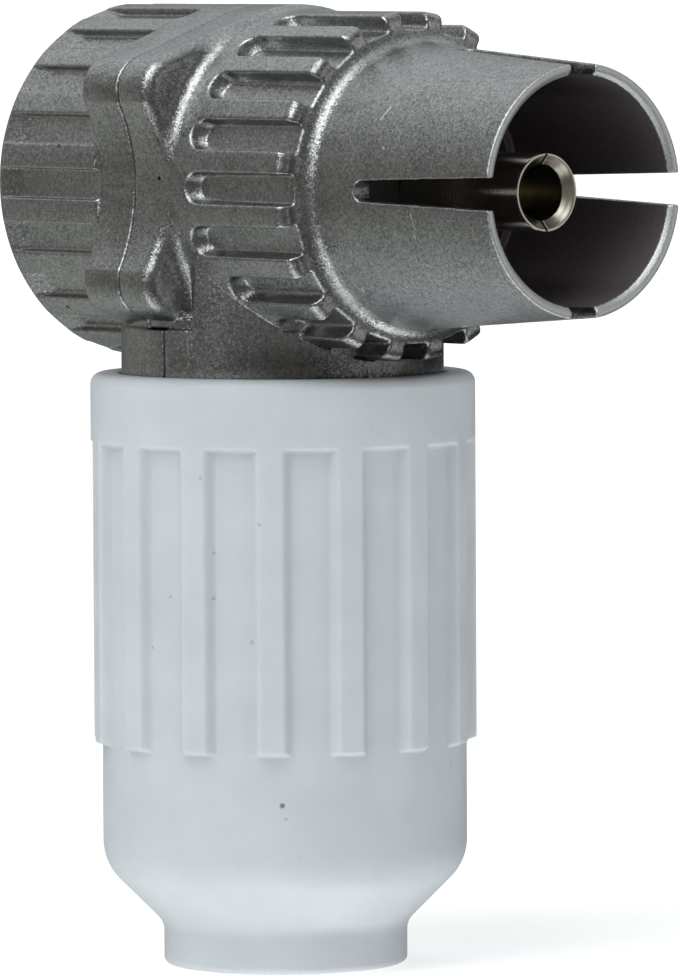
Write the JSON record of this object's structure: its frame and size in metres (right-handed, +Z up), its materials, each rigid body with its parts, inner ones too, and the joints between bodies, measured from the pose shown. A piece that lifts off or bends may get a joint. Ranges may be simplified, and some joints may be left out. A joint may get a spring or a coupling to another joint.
{
  "type": "right-angle coaxial socket",
  "caption": "Right-angle coaxial aerial socket: two-part cast body with a slotted shell round a spring contact, and a ribbed screw sleeve that clamps the cable.",
  "frame": {"origin": "centre of the cable hole in the plane of the sleeve's foot", "axes": "+X is the mating direction of the socket, +Z runs up the cable axis from the sleeve's foot"},
  "size_m": [0.0313, 0.0172, 0.0429],
  "materials": {
    "cast_zinc": "grainy satin zinc casting",
    "tinned_brass": "bright tin plating",
    "insulator_plastic": "satin",
    "screw_brass": "bright nickel plating",
    "clamp_plastic": "satin",
    "white_plastic": "satin moulded"
  },
  "bodies": {
    "casting": {"front_housing": "cast_zinc", "rear_cover": "cast_zinc", "centre_contact": "tinned_brass", "contact_insulator": "insulator_plastic", "terminal_screw": "screw_brass"},
    "clamp": {"cable_clamp": "clamp_plastic"},
    "sleeve": {"cable_sleeve": "white_plastic"}
  },
  "joints": [
    {"name": "clamp_slide", "type": "slide", "parent": "casting", "child": "clamp", "axis": [0, 0, 1], "range_m": [-0.0076, 0]},
    {"name": "sleeve_turn", "type": "hinge", "parent": "clamp", "child": "sleeve", "pos_m": [0, 0, 0], "axis": [0, 0, 1], "range_deg": [-1800, 0]}
  ],
  "couplings": [
    {"joint": "clamp_slide", "follows": "sleeve_turn", "m_per_rad": 0.00023873}
  ]
}
